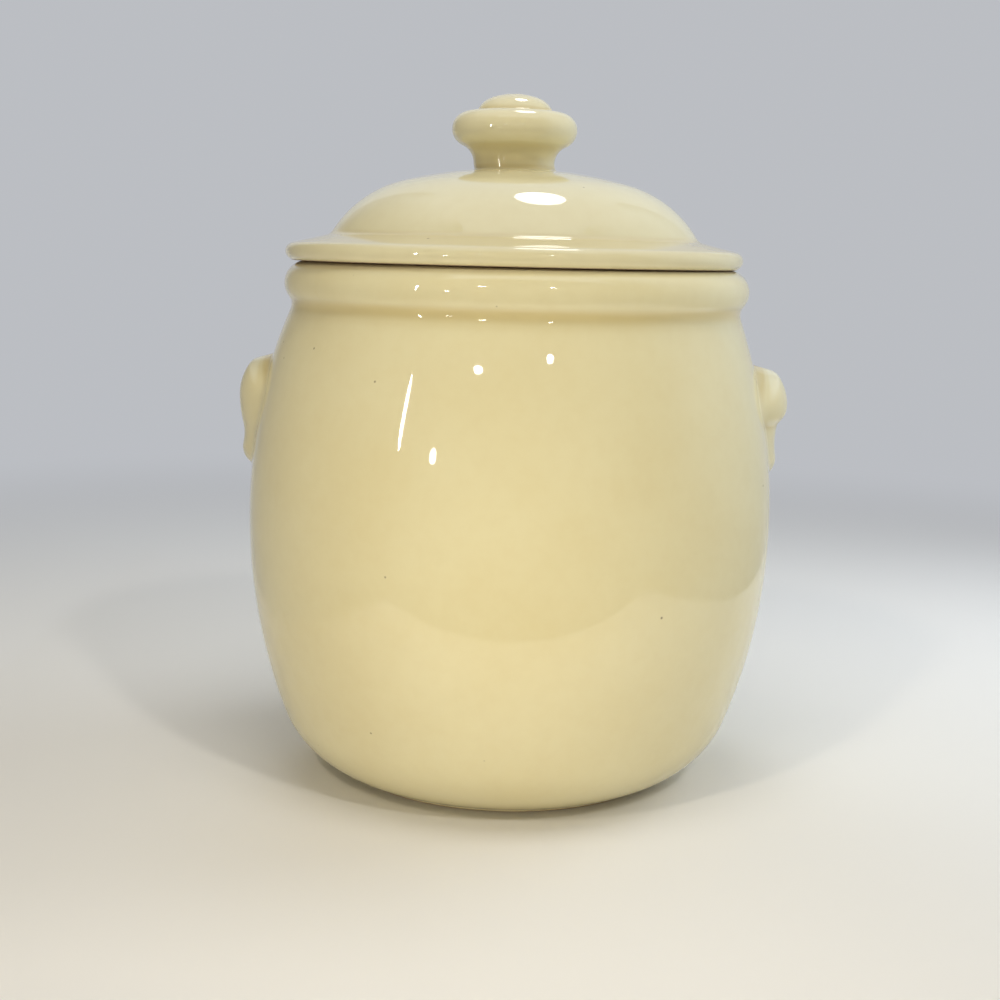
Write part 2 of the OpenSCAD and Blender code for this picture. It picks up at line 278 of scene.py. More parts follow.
def lid_outline():
    """From inside the vent, out along the underside, and over the dome back to the vent."""
    fillet = foot_fillet(DOME_SIDE_CENTRE, DOME_TIGHT, (DOME_R, DOME_FOOT_Z), BRIM_SLOPE, DOME_FILLET)
    fillet_top = heading(DOME_SIDE_CENTRE, fillet)
    ring_out = MOUTH_R - RING_GAP
    ring_in = ring_out - RING_T
    roof_z = DOME_FOOT_Z - LID_WALL
    roof_r = DOME_R - LID_WALL / sin(DOME_TURN)
    roof_lean = math.degrees(math.acos((roof_r - DOME_SIDE_CENTRE[0]) / (DOME_TIGHT - LID_WALL)))
    step_edge = (roof_r + LID_INNER_ROUND, roof_z + LID_INNER_ROUND)
    ring_low = RING_ROUND - RING_DEPTH
    vent_wall = (VENT_R, CROWN_H - 0.5 * LID_WALL)
    vent_edge = math.degrees(math.acos(VENT_R / DOME_WIDE))
    parts = [
        [vent_wall],
        arc(CROWN_CENTRE, DOME_WIDE - LID_WALL, vent_edge, 90.0 - CROWN_TURN),
        arc(DOME_SIDE_CENTRE, DOME_TIGHT - LID_WALL, 90.0 - CROWN_TURN, roof_lean),
        arc(step_edge, LID_INNER_ROUND, 180.0, 270.0),
        arc((ring_in - LID_INNER_ROUND, roof_z - LID_INNER_ROUND), LID_INNER_ROUND, 90.0, 0.0),
        arc((ring_in + RING_ROUND, ring_low), RING_ROUND, 180.0, 270.0),
        arc((ring_out - RING_ROUND, ring_low), RING_ROUND, 270.0, 360.0),
        [(ring_out, 0.0)],
        arc(EDGE_CENTRE, LID_EDGE, -90.0, 90.0 - BRIM_SLOPE),
        arc(fillet, DOME_FILLET, 270.0 - BRIM_SLOPE, 180.0 + fillet_top),
        arc(DOME_SIDE_CENTRE, DOME_TIGHT, fillet_top, 90.0 - CROWN_TURN),
        arc(CROWN_CENTRE, DOME_WIDE, 90.0 - CROWN_TURN, vent_edge),
        [vent_wall],
    ]
    points = np.concatenate([np.asarray(p, float) for p in parts])
    return points + np.array([0.0, RIM_Z])


def crown_z(r):
    """Height of the dome's crown over the rim at a radius near the axis."""
    return CROWN_CENTRE[1] + math.sqrt(DOME_WIDE ** 2 - r ** 2)


def knob_outline():
    """From the vent's end, down into the crown, up the stem, round the disc and over the button."""
    waist = CROWN_H + STEM_H
    seat = CROWN_H - KNOB_SEAT
    collar = (STEM_R + STEM_GLAZE, crown_z(STEM_R + STEM_GLAZE) + STEM_GLAZE)
    hollow = (STEM_R + STEM_ROUND, waist)
    rim = (STEM_R + DISC_OUT - DISC_ROUND, waist + roll_rise(DISC_OUT, STEM_ROUND, DISC_ROUND))
    lean = heading(hollow, rim)
    disc_top = rim[1] + DISC_ROUND
    wide, tight = biarc(BUTTON_R, BUTTON_H, BUTTON_TURN, BUTTON_END)
    button_centre = (0.0, disc_top + BUTTON_H - wide)
    button_side = (
        (wide - tight) * sin(BUTTON_TURN),
        button_centre[1] + (wide - tight) * cos(BUTTON_TURN),
    )
    fillet = foot_fillet(button_side, tight, (BUTTON_R, disc_top), 0.0, BUTTON_FILLET)
    fillet_top = heading(button_side, fillet)
    vent_end = CROWN_H + VENT_DEPTH
    parts = [
        [(0.0, vent_end), (VENT_R, vent_end), (VENT_R, seat), (collar[0], seat)],
        arc(collar, STEM_GLAZE, 270.0, 180.0),
        arc(hollow, STEM_ROUND, 180.0, lean),
        arc(rim, DISC_ROUND, lean - 180.0, 90.0),
        arc(fillet, BUTTON_FILLET, 270.0, 180.0 + fillet_top),
        arc(button_side, tight, fillet_top, 90.0 - BUTTON_TURN),
        arc(button_centre, wide, 90.0 - BUTTON_TURN, 90.0),
    ]
    points = np.concatenate([np.asarray(p, float) for p in parts])
    return points + np.array([0.0, RIM_Z])


def even_steps(points, step):
    """The outline again, as points at equal steps along it."""
    gaps = np.hypot(*np.diff(points, axis=0).T)
    keep = np.concatenate([[True], gaps > TINY])
    points = points[keep]
    along = np.concatenate([[0.0], np.cumsum(np.hypot(*np.diff(points, axis=0).T))])
    count = int(along[-1] / step) + 1
    at = np.linspace(0.0, along[-1], count)
    return np.stack([np.interp(at, along, points[:, k]) for k in (0, 1)], 1)


def gaussian(width, step):
    """Weights of a bell curve of that width, sampled at a step."""
    reach = int(math.ceil(BELL_REACH * width / step))
    weights = np.exp(-0.5 * (np.arange(-reach, reach + 1) * step / width) ** 2)
    return weights / weights.sum()


def beyond(end, points):
    """How the outline runs on past an end: mirrored in the axis, or else turned about the end."""
    if end[0] < TINY:
        return points * np.array([-1.0, 1.0])
    return 2.0 * end - points


def soften(points, width):
    """The outline with its corners rounded, as a coat of glaze rounds them."""
    weights = gaussian(width, DRAWN_STEP)
    reach = len(weights) // 2
    before = beyond(points[0], points[1:reach + 1][::-1])
    after = beyond(points[-1], points[-reach - 1:-1][::-1])
    padded = np.concatenate([before, points, after])
    soft = np.stack([np.convolve(padded[:, k], weights, "valid") for k in (0, 1)], 1)
    soft[0, 0] = points[0, 0]
    soft[-1, 0] = points[-1, 0]
    return soft


def bends(points):
    """Signed bend of the outline at each point, per millimetre: above 0 on an outer edge."""
    step = np.gradient(points, axis=0)
    lean = np.unwrap(np.arctan2(step[:, 1], step[:, 0]))
    return np.gradient(lean) / np.hypot(step[:, 0], step[:, 1])


def thinned(points, bend):
    """Indices of the points to keep: close together where the outline bends."""
    steps = np.concatenate([[0.0], np.hypot(*np.diff(points, axis=0).T)])
    cost = steps / MESH_STEP + np.degrees(np.abs(bend)) * steps / MESH_TURN
    total = np.cumsum(cost)
    marks = np.linspace(0.0, total[-1], int(total[-1]) + 2)
    return np.unique(np.searchsorted(total, marks).clip(0, len(points) - 1))


# ================================================================ the waviness of hand finishing
# Waves round the jar: (lobes, waves up the height, share, phase)
WAVES = (
    (2, 0.6, 0.34, 0.7),
    (3, 1.1, 0.22, 2.1),
    (5, 1.7, 0.14, 4.0),
    (9, 3.1, 0.045, 1.3),
    (13, 5.3, 0.03, 5.2),
    (17, 8.9, 0.018, 0.4),
    (4, 12.7, 0.014, 3.3),
)
WAVE_SPAN = 170.0        # mm of height that a wave count refers to

# Depth of the waves on a surface of the belly's radius, in mm, and their phase
JAR_WAVE = (0.34, 0.0)
LID_WAVE = (0.22, 1.9)
KNOB_WAVE = (0.22, 3.4)


def waviness(angle, z, phase):
    """The waves added up at an angle and a height: from 0 to 0.81 of their depth, inward."""
    total = 0.0
    for lobes, rises, share, start in WAVES:
        turn = lobes * angle + 2.0 * math.pi * rises * z / WAVE_SPAN + start + phase
        total = total + share * (0.5 + 0.5 * np.sin(turn))
    return total


def inward(wave, angle, z, r):
    """How far inside its true circle of radius r a surface lies, in mm."""
    depth, phase = wave
    return depth * waviness(angle, z, phase) * r / BODY_R


# ================================================================ meshes
POOL_MIDDLE = 0.5        # the pooling value of a plain surface: more in hollows, less on edges
POOL_BY_BEND = 0.8       # how much a bend of 1 per mm moves the pooling value from its middle
BEND_MEAN = 13           # drawn points over which a bend is averaged


def new_piece(name, verts, faces, body, nodes, material):
    """A smooth mesh piece that rides on a body, stands for CAD nodes and takes a slot's finish."""
    mesh = bpy.data.meshes.new(name)
    mesh.from_pydata(verts.tolist(), [], faces)
    mesh.polygons.foreach_set("use_smooth", [True] * len(mesh.polygons))
    mesh.update()
    piece = placed(name, mesh)
    mesh.materials.append(material)
    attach(piece, body)
    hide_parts(*nodes)
    return piece


def point_values(piece, name, values):
    """A named number at each vertex, for the glaze to read."""
    layer = piece.data.attributes.new(name, "FLOAT", "POINT")
    layer.data.foreach_set("value", np.asarray(values, np.float32))


def band(a, b):
    """Faces between two rings of points, from the numbers of their first points."""
    return [(a + k, a + (k + 1) % TURNS, b + (k + 1) % TURNS, b + k) for k in range(TURNS)]


def fan(ring, tip, at_start):
    """Faces that close a ring to a point on the axis, at the outline's start or at its end."""
    pairs = [(ring + k, ring + (k + 1) % TURNS) for k in range(TURNS)]
    return [(b, a, tip) if at_start else (a, b, tip) for a, b in pairs]


def revolved(name, outline, soften_by, wave, drift, bare_at, pool_and_shade_at, body, node, material):
    """A piece turned from an outline; drift is how far its middle has moved along X at a height."""
    drawn = soften(even_steps(outline, DRAWN_STEP), soften_by)
    bend = bends(drawn)
    bend = np.convolve(np.pad(bend, BEND_MEAN // 2, "edge"), np.ones(BEND_MEAN) / BEND_MEAN, "valid")
    keep = thinned(drawn, bend)
    ring_r, ring_z, ring_bend = drawn[keep, 0], drawn[keep, 1], bend[keep]
    bare = bare_at(ring_r, ring_z)
    on_axis = [ring_r[0] < TINY, ring_r[-1] < TINY]
    first = 1 if on_axis[0] else 0
    last = len(keep) - 1 if on_axis[1] else len(keep)
    angles = np.arange(TURNS) * 2.0 * math.pi / TURNS
    rows = []
    for k in range(first, last):
        r = (ring_r[k] - inward(wave, angles, ring_z[k], ring_r[k])) * MM
        z = np.full(TURNS, ring_z[k] * MM)
        rows.append(np.stack([r * np.cos(angles) + drift(ring_z[k]) * MM, r * np.sin(angles), z], 1))
    verts = np.concatenate(rows)
    count = last - first
    faces = []
    for row in range(count - 1):
        faces += band(row * TURNS, (row + 1) * TURNS)
    if not any(on_axis):
        faces += band((count - 1) * TURNS, 0)
    # The pooling value: more in hollows, less on edges, plus the piece's own additions, some of which are
    # painted shade
    ring_pool_and_shade = POOL_MIDDLE - POOL_BY_BEND * ring_bend + pool_and_shade_at(ring_r, ring_z)
    pool_and_shade = np.repeat(ring_pool_and_shade[first:last], TURNS)
    bare = np.repeat(bare[first:last], TURNS)
    for end, row in ((0, 0), (1, count - 1)):
        if on_axis[end]:
            tip = len(verts)
            verts = np.concatenate([verts, [[drift(ring_z[-end]) * MM, 0.0, ring_z[-end] * MM]]])
            pool_and_shade = np.append(pool_and_shade, POOL_MIDDLE)
            bare = np.append(bare, bare[row * TURNS])
            faces += fan(row * TURNS, tip, end == 0)
    piece = new_piece(name, verts, faces, body, [node], material)
    point_values(piece, "pool_and_shade", pool_and_shade.clip(0.0, 1.0))
    point_values(piece, "bare", bare)
    return piece


# ================================================================ materials
def node_maker(tree):
    """A function that adds a node, sets its values and links its inputs."""
    def add(kind, values=None, links=None, **settings):
        node = tree.nodes.new(kind)
        for key, value in settings.items():
            setattr(node, key, value)
        for key, value in (values or {}).items():
            node.inputs[key].default_value = value
        for key, source in (links or {}).items():
            tree.links.new(source, node.inputs[key])
        return node
    return add


def emptied(owner):
    """The node maker of a material or a world, with its tree cleared."""
    owner.use_nodes = True
    owner.node_tree.nodes.clear()
    return node_maker(owner.node_tree)


def mix_colour(add, share, a, b):
    """A mix of two colours; each is a socket or a plain colour. Sockets 0, 6 and 7 are share, a and b."""
    node = add("ShaderNodeMix", data_type="RGBA", clamp_factor=True)
    tree = node.id_data
    for key, value in ((0, share), (6, a), (7, b)):
        if isinstance(value, bpy.types.NodeSocket):
            tree.links.new(value, node.inputs[key])
        else:
            node.inputs[key].default_value = value if key == 0 else (*value, 1.0)
    return node.outputs[2]


def mapped(add, source, low, high, to_low, to_high):
    """A value carried from one range to another, held at the ends."""
    node = add(
        "ShaderNodeMapRange",
        {"From Min": low, "From Max": high, "To Min": to_low, "To Max": to_high},
        {"Value": source},
    )
    return node.outputs["Result"]


def faded(add, source, low, high):
    """A smooth rise from 0 to 1 between two places, in millimetres."""
    node = add(
        "ShaderNodeMapRange",
        {"From Min": low * MM, "From Max": high * MM},
        {"Value": source},
        interpolation_type="SMOOTHSTEP",
    )
    return node.outputs["Result"]


def maths(add, operation, a, b):
    """One arithmetic step on sockets or numbers."""
    node = add("ShaderNodeMath", operation=operation)
    for key, value in ((0, a), (1, b)):
        if isinstance(value, bpy.types.NodeSocket):
            node.id_data.links.new(value, node.inputs[key])
        else:
            node.inputs[key].default_value = value
    return node.outputs[0]


CLAY = (0.47, 0.35, 0.22)
IRON = (0.085, 0.045, 0.022)
CLAY_DARK = 0.72         # the clay's darkest grains, as a share of its colour

# Noises of the glaze, with their scales in cells per metre
CLOUDS = {"Scale": 24.0, "Detail": 2.0}
FLECKS = {"Scale": 230.0, "Detail": 3.0}
PEEL = {"Scale": 130.0, "Detail": 1.5}
RIPPLES = {"Scale": 420.0, "Detail": 1.0}
GRAIN = {"Scale": 900.0, "Detail": 4.0}
SPECK_CELLS = {"Scale": 85.0}

CLOUD_RANGE = (0.35, 0.68)      # of the noise, as FLECK_RANGE and GLOSS_RANGE are
CLOUD_SHARE = 0.26       # how far the clouds go from the plain colour to the thick one
FLECK_RANGE = (0.4, 0.7)
FLECK_SHARE = 0.10
POOLED = (0.54, 0.95)    # pooling values, painted shade included, at which the thick colour begins and is full
WORN = (0.32, 0.02)      # and those for the thin colour on edges
SPECK_EDGE = (0.018, 0.045)     # in cells, where a speck's edge begins and ends
SPECK_RARITY = 0.45      # share of the cells without a speck
SPECK_DEPTH = 0.75       # how dark a speck is
SPECK_DIP = 0.6          # parts of the relief, with the slow swell as 1
RIPPLE_SHARE = 0.14
CLAY_TOOTH = 2.5
GLOSS_RANGE = (0.3, 0.7)
GLAZE_ROUGH = (0.025, 0.045)
CLAY_ROUGH = 0.78
RELIEF_STRENGTH = 0.22
RELIEF_DEPTH = 0.00006   # m
GLAZE_IOR = 1.64


def glaze_colour(add, place, pool_and_shade, fleck, plain, thick, thin):
    """Cream glaze: warmer and deeper where it pools and where shade is painted in, paler on edges."""
    cloud = add("ShaderNodeTexNoise", CLOUDS, {"Vector": place})
    clouded = mapped(add, cloud.outputs["Fac"], *CLOUD_RANGE, 0.0, CLOUD_SHARE)
    flecked = mapped(add, fleck, *FLECK_RANGE, 0.0, FLECK_SHARE)
    colour = mix_colour(add, maths(add, "ADD", clouded, flecked), plain, thick)
    colour = mix_colour(add, mapped(add, pool_and_shade, *POOLED, 0.0, 1.0), colour, thick)
    return mix_colour(add, mapped(add, pool_and_shade, *WORN, 0.0, 1.0), colour, thin)


def iron_specks(add, place):
    """Rare dots: 1 in the middle of a dot and 0 between them."""
    cells = add("ShaderNodeTexVoronoi", SPECK_CELLS, {"Vector": place}, feature="F1")
    dot = mapped(add, cells.outputs["Distance"], *SPECK_EDGE, 1.0, 0.0)
    chosen = add("ShaderNodeSeparateColor", links={"Color": cells.outputs["Color"]})
    rare = maths(add, "GREATER_THAN", chosen.outputs["Red"], SPECK_RARITY)
    return maths(add, "MULTIPLY", dot, rare)


def glaze_relief(add, place, speck, grain, bare):
    """The slow swell and fine ripple of fired glaze, dips at the specks and the tooth of bare clay."""
    peel = add("ShaderNodeTexNoise", PEEL, {"Vector": place})
    ripple = add("ShaderNodeTexNoise", RIPPLES, {"Vector": place})
    relief = maths(add, "SUBTRACT", peel.outputs["Fac"], maths(add, "MULTIPLY", speck, SPECK_DIP))
    relief = maths(add, "ADD", relief, maths(add, "MULTIPLY", ripple.outputs["Fac"], RIPPLE_SHARE))
    tooth = maths(add, "MULTIPLY", grain, maths(add, "MULTIPLY", bare, CLAY_TOOTH))
    height = maths(add, "ADD", relief, tooth)
    values = {"Strength": RELIEF_STRENGTH, "Distance": RELIEF_DEPTH}
    return add("ShaderNodeBump", values, {"Height": height}).outputs["Normal"]


def glaze(name, plain, thick, thin):
    """Glossy cream glaze with iron specks, and the bare clay where it was wiped off."""
    material = bpy.data.materials.new(name)
    add = emptied(material)
    place = add("ShaderNodeTexCoord").outputs["Object"]
    pool_and_shade = add("ShaderNodeAttribute", attribute_name="pool_and_shade").outputs["Fac"]
    bare = add("ShaderNodeAttribute", attribute_name="bare").outputs["Fac"]
    fleck = add("ShaderNodeTexNoise", FLECKS, {"Vector": place})
    grain = add("ShaderNodeTexNoise", GRAIN, {"Vector": place})
    speck = iron_specks(add, place)

    colour = glaze_colour(add, place, pool_and_shade, fleck.outputs["Fac"], plain, thick, thin)
    colour = mix_colour(add, maths(add, "MULTIPLY", speck, SPECK_DEPTH), colour, IRON)
    clay = mix_colour(add, grain.outputs["Fac"], CLAY, tuple(CLAY_DARK * c for c in CLAY))
    colour = mix_colour(add, bare, colour, clay)

    gloss = mapped(add, fleck.outputs["Fac"], *GLOSS_RANGE, *GLAZE_ROUGH)
    rough = add("ShaderNodeMix", {3: CLAY_ROUGH}, {0: bare, 2: gloss}, data_type="FLOAT")
    normal = glaze_relief(add, place, speck, grain.outputs["Fac"], bare)
    shader = add(
        "ShaderNodeBsdfPrincipled",
        {"IOR": GLAZE_IOR, "Specular IOR Level": 0.5},
        {"Base Color": colour, "Roughness": rough.outputs[0], "Normal": normal},
    )
    add("ShaderNodeOutputMaterial", links={"Surface": shader.outputs["BSDF"]})
    return material


# Colours of each glaze: plain, where it is thick (also used for painted shade), and where it is thin
JAR_COLOURS = ((0.765, 0.700, 0.435), (0.670, 0.565, 0.285), (0.800, 0.755, 0.530))
LID_COLOURS = ((0.770, 0.720, 0.480), (0.660, 0.570, 0.310), (0.805, 0.770, 0.565))

jar_glaze = glaze("jar_glaze_cream", *JAR_COLOURS)
lid_glaze = glaze("lid_glaze_cream", *LID_COLOURS)


# ================================================================ turned pieces
BODY_SOFT = 0.42         # mm, how widely the glaze rounds a corner
KNOB_SOFT = 0.36
NECK_POOL_AND_SHADE = 0.22         # added to the pooling value: pooled glaze and painted shade in the neck and on the brim, painted shade on the knob
BRIM_POOL_AND_SHADE = 0.42
KNOB_PAINTED_SHADE = 0.24
FOOT_BARE = 0.45         # mm up the foot ring that is bare
SEAT_BARE = 0.4          # mm down from the rim's flat and out from the mouth, the bare seat's bounds
BRIM_BARE = 0.25         # mm either side of the flat under the brim that is bare
BRIM_BARE_IN = 1.4       # mm in from the mouth's wall at which that bare flat begins
REGION_SLACK = 1.0       # mm in from a drawn edge at which its region begins
RIM_DRIFT = 0.6          # mm along X, where the jar's drift is full
DRIFT_FROM = 138.0       # mm, the height at which it begins
DRIFT_OVER = 24.0        # mm of height over which it grows
LID_DRIFT = -0.6         # mm along X, within the play of the ring in the mouth
KNOB_DRIFT = -0.8        # mm along X from the lid's middle


def jar_bare(r, z):
    """Bare clay under the foot ring and on the flat seat of the rim."""
    foot = (z < FOOT_BARE) & (r > FOOT_R - FOOT_W - REGION_SLACK)
    seat = (z > RIM_Z - SEAT_BARE) & (r > MOUTH_R + SEAT_BARE)
    return (foot | seat).astype(float)


def lid_bare(r, z):
    """Bare clay on the flat under the brim, where the lid sits on the rim."""
    seat = (np.abs(z - RIM_Z) < BRIM_BARE) & (r > MOUTH_R - BRIM_BARE_IN)
    return seat.astype(float)


def knob_bare(r, z):
    """The knob is glazed all over."""
    return np.zeros(len(r))


def jar_pool_and_shade(r, z):
    """Glaze that has gathered in the hollow of the neck: a deeper colour there, partly real pooling and
    partly painted shade under the roll of the rim.
    """
    gathered = NECK_POOL_AND_SHADE * np.exp(-((z - NECK_Z) / NECK_ROUND) ** 2)
    return np.where(r > NECK_R - REGION_SLACK, gathered, 0.0)


def lid_pool_and_shade(r, z):
    """Glaze that has run off the dome on to the brim: a deeper colour there, partly real pooling and
    partly painted shade.
    """
    return BRIM_POOL_AND_SHADE * eased((r - DOME_R + REGION_SLACK) / DOME_FILLET)


def knob_painted_shade(r, z):
    """Painted shade: the knob's glaze takes a little of the deeper, thick colour all over."""
    return np.full(len(r), KNOB_PAINTED_SHADE)


def jar_drift(z):
    """The rim lies a little to the right of the foot's middle."""
    return RIM_DRIFT * eased((z - DRIFT_FROM) / DRIFT_OVER)


def lid_drift(z):
    """The lid lies a little to the left in the mouth."""
    return LID_DRIFT


def knob_drift(z):
    """The knob stands a little to the left of the lid's middle."""
    return LID_DRIFT + KNOB_DRIFT * eased((z - RIM_Z - CROWN_H + KNOB_SEAT) / (2.0 * KNOB_SEAT))


revolved(
    "jar_body_surface", jar_outline(), BODY_SOFT, JAR_WAVE, jar_drift, jar_bare, jar_pool_and_shade,
    "jar", "jar_body", jar_glaze,
)
revolved(
    "lid_surface", lid_outline(), BODY_SOFT, LID_WAVE, lid_drift, lid_bare, lid_pool_and_shade,
    "lid_and_knob", "lid", lid_glaze,
)
revolved(
    "knob_surface", knob_outline(), KNOB_SOFT, KNOB_WAVE, knob_drift, knob_bare, knob_painted_shade,
    "lid_and_knob", "knob", lid_glaze,
)

# ================================================================ lugs
LUG_TOP = RIM_Z - LUG_DROP
NOSE_Z = LUG_TOP - HOOD_H
LUG_AXIS = side_r(NOSE_Z) + LUG_OUT - LUG_ROUND
LUG_HALF = 20.84         # mm, half the width of the sheet before its margin
LUG_SOFT = (0.7, 1.5)    # mm, widths of the blur that rounds a lug, up its height and across it
LUG_SINK = 0.05          # mm that the lug's sheet lies inside the jar's surface round the lug
LUG_BACK = 2.0           # mm from the jar's surface in to the back of the lug's piece
LUG_MARGIN = 3.0         # mm of sheet left round a lug
LUG_POOL_BY_BEND = 0.55  # how much a curvature of 1 per mm moves a lug's pooling value

# The ledge's height, how far in it goes and how far in the nose lies, in mm. In the photograph the left
# lug stands out less, and its ledge is longer and shallower, so its tail is fuller.
RIGHT_LUG = (5.6, 2.9, 0.0)
LEFT_LUG = (8.6, 0.9, 0.8)


def biarc_drop(at, run, fall, turn_1, turn_2):
    """How far a biarc has fallen at a distance along its run."""
    wide, tight = biarc(run, fall, turn_1, turn_2)
    centre = (wide - tight) * sin(turn_1)
    base = wide - (wide - tight) * cos(turn_1)
    first = wide - np.sqrt(np.maximum(wide ** 2 - at ** 2, 0.0))
    second = base - np.sqrt(np.maximum(tight ** 2 - (at - centre) ** 2, 0.0))
    return np.where(at < wide * sin(turn_1), first, second)


def lug_radius(z, ledge_h, ledge_in, nose_in):
    """Radius of the turned lug about its own axis; below 0 where there is no lug."""
    up = z - NOSE_Z
    hood = LUG_ROUND - biarc_drop(up.clip(0.0), HOOD_H + HOOD_TRIM, HOOD_IN, HOOD_TURN, HOOD_END)
    ledge_arc = (ledge_h ** 2 + ledge_in ** 2) / (2.0 * ledge_in)
    down = (-up).clip(0.0, ledge_h)
    ledge = LUG_ROUND - ledge_arc + np.sqrt(ledge_arc ** 2 - down ** 2)
    tail_r = LUG_ROUND - ledge_in
    tail_h = TAIL_H + LEDGE_H - ledge_h
    half = tail_h / 2.0
    mid = up + ledge_h + half
    groove_arc = (half ** 2 + TAIL_HOLLOW ** 2) / (2.0 * TAIL_HOLLOW)
    groove = tail_r + groove_arc - TAIL_HOLLOW - np.sqrt(groove_arc ** 2 - mid.clip(-half, half) ** 2)
    under = (-up - ledge_h - tail_h).clip(0.0)
    end = tail_r - biarc_drop(under, END_H, END_IN, END_TURN, END_END)
    radius = np.where(up >= 0.0, hood, np.where(-up < ledge_h, ledge, groove))
    radius = np.where(under > 0.0, end, radius)
    return np.where((under > END_H) | (up > HOOD_H + HOOD_TRIM), -1.0, radius - nose_in)


def blurred(field, widths):
    """A grid of numbers smoothed along each of its two axes."""
    for axis, width in enumerate(widths):
        weights = gaussian(width, LUG_STEP)
        reach = len(weights) // 2
        edges = [(reach, reach) if k == axis else (0, 0) for k in (0, 1)]
        field = np.pad(field, edges, "edge")
        field = np.apply_along_axis(np.convolve, axis, field, weights, "valid")
    return field


def grid_faces(rows, cols):
    """Faces of a front sheet and its back, and the strip that closes them round the edge."""
    faces = []
    shift = rows * cols
    for i in range(rows - 1):
        for j in range(cols - 1):
            a, b, d, e = i * cols + j, i * cols + j + 1, (i + 1) * cols + j + 1, (i + 1) * cols + j
            faces.append((a, b, d, e))
            faces.append((shift + e, shift + d, shift + b, shift + a))
    edge = list(range(cols))
    edge += [i * cols + cols - 1 for i in range(1, rows)]
    edge += [(rows - 1) * cols + j for j in range(cols - 2, -1, -1)]
    edge += [i * cols for i in range(rows - 2, 0, -1)]
    for k, a in enumerate(edge):
        b = edge[(k + 1) % len(edge)]
        faces.append((shift + a, shift + b, b, a))
    return faces


def curvature(field):
    """How a height field bends along its two axes together, per mm: above 0 in a hollow."""
    rising = np.gradient(np.gradient(field, LUG_STEP, axis=0), LUG_STEP, axis=0)
    return rising + np.gradient(np.gradient(field, LUG_STEP, axis=1), LUG_STEP, axis=1)


def lug_piece(name, turn, node, form):
    """A lug as a sheet over the jar's side, closed by a back inside the wall."""
    half_w = LUG_HALF + LUG_MARGIN
    low, high = NOSE_Z - LEDGE_H - TAIL_H - END_H - LUG_MARGIN, LUG_TOP + LUG_MARGIN
    across = np.linspace(-half_w, half_w, int(2.0 * half_w / LUG_STEP) + 1)
    upward = np.linspace(low, high, int((high - low) / LUG_STEP) + 1)
    y, z = np.meshgrid(across, upward)
    jar_r = side_r(z)
    angle = np.arcsin(y / jar_r) + turn
    wall_x = np.sqrt((jar_r - inward(JAR_WAVE, angle, z, jar_r)) ** 2 - y ** 2)
    radius = lug_radius(z, *form)
    turned = LUG_AXIS + np.sqrt(np.maximum(radius ** 2 - y ** 2, 0.0))
    turned = np.where((radius > 0.0) & (np.abs(y) < radius), turned, 0.0)
    rho = np.hypot(y, z - (LUG_TOP - ARCH_ROUND))
    cone = side_r(LUG_TOP) + (ARCH_ROUND - rho) / (sin(ARCH_DRAFT) / cos(ARCH_DRAFT))
    proud = np.maximum(0.0, np.minimum(turned, cone) - wall_x)
    proud = blurred(proud, LUG_SOFT)
    front = np.stack([wall_x + proud - LUG_SINK, y, z], 2).reshape(-1, 3)
    back = np.stack([wall_x - LUG_BACK, y, z], 2).reshape(-1, 3)
    verts = np.concatenate([front, back])
    c, s = math.cos(turn), math.sin(turn)
    verts = np.stack([
        c * verts[:, 0] - s * verts[:, 1],
        s * verts[:, 0] + c * verts[:, 1],
        verts[:, 2],
    ], 1) * MM
    piece = new_piece(name, verts, grid_faces(*y.shape), "jar", [node], jar_glaze)
    pool_and_shade = (POOL_MIDDLE + LUG_POOL_BY_BEND * curvature(proud)).clip(0.0, 1.0).ravel()
    point_values(piece, "pool_and_shade", np.concatenate([pool_and_shade, np.full(len(pool_and_shade), POOL_MIDDLE)]))
    point_values(piece, "bare", np.zeros(2 * len(pool_and_shade)))
    return piece


lug_piece("right_lug_surface", 0.0, "right_lug", RIGHT_LUG)
lug_piece("left_lug_surface", math.pi, "left_lug", LEFT_LUG)


# ================================================================ floor, backdrop and light
BACKDROP = (0.500, 0.515, 0.545)
FLOOR = (0.810, 0.800, 0.780)
FLOOR_HALF = 12.0        # m
FLOOR_ROUGH = 0.7
FADE_NEAR, FADE_FAR = 200.0, 800.0    # mm from the axis, where the floor begins to fade and has faded
SKY = (0.95, 1.08, 1.22)              # what reflections see overhead
SKY_LOW, SKY_FULL = 0.1, 0.9          # heights of a direction at which the sky begins and is full
AMBIENT = 0.15           # strength of the soft light from all round
AMBIENT_COLOUR = (1.0, 0.985, 0.955)


def make_floor():
    """A pale floor that fades with distance into the backdrop's own colour."""
    mesh = bpy.data.meshes.new("floor")
    h = FLOOR_HALF
    mesh.from_pydata([(-h, -h, 0), (h, -h, 0), (h, h, 0), (-h, h, 0)], [], [(0, 1, 2, 3)])
    floor = placed("floor", mesh)
    material = bpy.data.materials.new("floor_paper")
    add = emptied(material)
    place = add("ShaderNodeTexCoord").outputs["Object"]
    length = add("ShaderNodeVectorMath", links={0: place}, operation="LENGTH").outputs["Value"]
    far = faded(add, length, FADE_NEAR, FADE_FAR)
    paper = add("ShaderNodeBsdfPrincipled", {"Base Color": (*FLOOR, 1.0), "Roughness": FLOOR_ROUGH})
    glow = add("ShaderNodeEmission", {"Color": (*BACKDROP, 1.0)})
    mixed = add("ShaderNodeMixShader", None, {0: far, 1: paper.outputs[0], 2: glow.outputs[0]})
    add("ShaderNodeOutputMaterial", links={"Surface": mixed.outputs[0]})
    mesh.materials.append(material)


